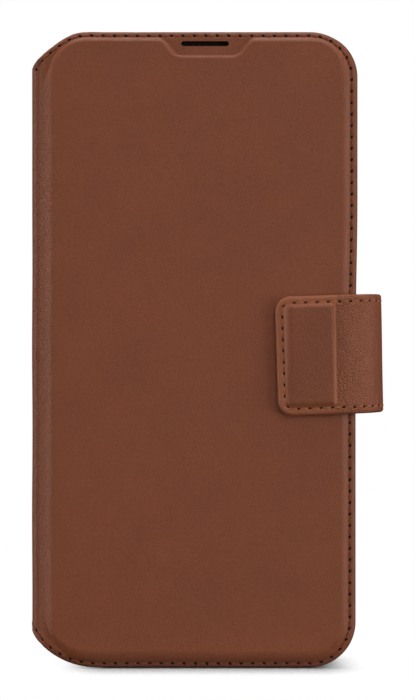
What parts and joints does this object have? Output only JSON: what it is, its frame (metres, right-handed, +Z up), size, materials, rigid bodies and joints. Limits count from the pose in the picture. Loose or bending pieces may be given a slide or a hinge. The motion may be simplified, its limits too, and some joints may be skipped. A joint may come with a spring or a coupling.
{
  "type": "phone wallet case",
  "caption": "Folding leather phone wallet case with a padded front cover, card pockets, a phone shell and a magnetic wrap-over strap.",
  "frame": {"origin": "middle of the bottom of the standing, closed case, taken over its full width and depth with the strap", "axes": "+X to the open side and the strap, the front cover faces -Y, +Z up along the case's height"},
  "size_m": [0.0919, 0.0226, 0.167],
  "materials": {
    "brown_leather": "smooth brown leather with a fine grain and a low sheen",
    "pocket_leather": "thin smooth brown leather",
    "microfibre": "dark brown microfibre",
    "board": "grey stiffening board",
    "foam": "thin foam padding",
    "brown_thread": "dark brown waxed thread",
    "tan_thread": "tan brown waxed thread",
    "shell_plastic": "matt dark brown soft plastic",
    "button_plastic": "satin dark brown plastic",
    "steel": "plain rolled steel",
    "nickel": "nickel-plated magnet"
  },
  "bodies": {
    "back_cover": {"back_leather": "brown_leather", "back_board": "board", "back_lining": "microfibre", "back_stitching": "brown_thread", "strap_tail": "brown_leather", "shell_tray": "shell_plastic", "shell_pad": "microfibre", "camera_lip": "shell_plastic"},
    "spine": {"spine_leather": "brown_leather", "spine_board": "board", "spine_lining": "microfibre", "front_fold_leather": "brown_leather", "back_fold_leather": "brown_leather"},
    "front_cover": {"cover_leather": "brown_leather", "cover_padding": "foam", "cover_board": "board", "cover_lining": "microfibre", "cover_stitching": "brown_thread", "catch_plate": "steel", "cash_pocket": "pocket_leather", "card_pocket_outer": "pocket_leather", "card_pocket_middle": "pocket_leather", "card_pocket_inner": "pocket_leather", "pocket_stitching": "tan_thread"},
    "strap_band": {"strap_band_leather": "brown_leather", "strap_band_lining": "microfibre"},
    "strap_tab": {"strap_tab_leather": "brown_leather", "strap_tab_lining": "microfibre", "strap_magnet_lower": "nickel", "strap_magnet_upper": "nickel", "strap_stitching": "tan_thread"},
    "action_button_key": {"action_button": "button_plastic"},
    "volume_up_key": {"volume_up_button": "button_plastic"},
    "volume_down_key": {"volume_down_button": "button_plastic"},
    "side_key": {"side_button": "button_plastic"}
  },
  "joints": [
    {"name": "spine_fold", "type": "hinge", "parent": "back_cover", "child": "spine", "pos_m": [-0.04481, 0.01026, 0.0835], "axis": [0, 0, -1], "range_deg": [0, 90], "deforming": ["back_fold_leather"]},
    {"name": "cover_fold", "type": "hinge", "parent": "spine", "child": "front_cover", "pos_m": [-0.04481, -0.00556, 0.0835], "axis": [0, 0, -1], "range_deg": [0, 90], "deforming": ["front_fold_leather"]},
    {"name": "strap_root", "type": "hinge", "parent": "back_cover", "child": "strap_band", "pos_m": [0.04347, 0.00822, 0.08251], "axis": [-0.0314, 0, 0.9995], "range_deg": [0, 90], "deforming": ["strap_band_leather", "strap_band_lining"]},
    {"name": "strap_bend", "type": "hinge", "parent": "strap_band", "child": "strap_tab", "pos_m": [0.04347, -0.00782, 0.08251], "axis": [-0.0314, 0, 0.9995], "range_deg": [0, 90]},
    {"name": "action_button_press", "type": "slide", "parent": "back_cover", "child": "action_button_key", "axis": [1, 0, 0], "range_m": [0, 0.0004], "stiffness_N_per_m": 1500},
    {"name": "volume_up_press", "type": "slide", "parent": "back_cover", "child": "volume_up_key", "axis": [1, 0, 0], "range_m": [0, 0.0004], "stiffness_N_per_m": 1500},
    {"name": "volume_down_press", "type": "slide", "parent": "back_cover", "child": "volume_down_key", "axis": [1, 0, 0], "range_m": [0, 0.0004], "stiffness_N_per_m": 1500},
    {"name": "side_button_press", "type": "slide", "parent": "back_cover", "child": "side_key", "axis": [-1, 0, 0], "range_m": [0, 0.0004], "stiffness_N_per_m": 1500}
  ]
}
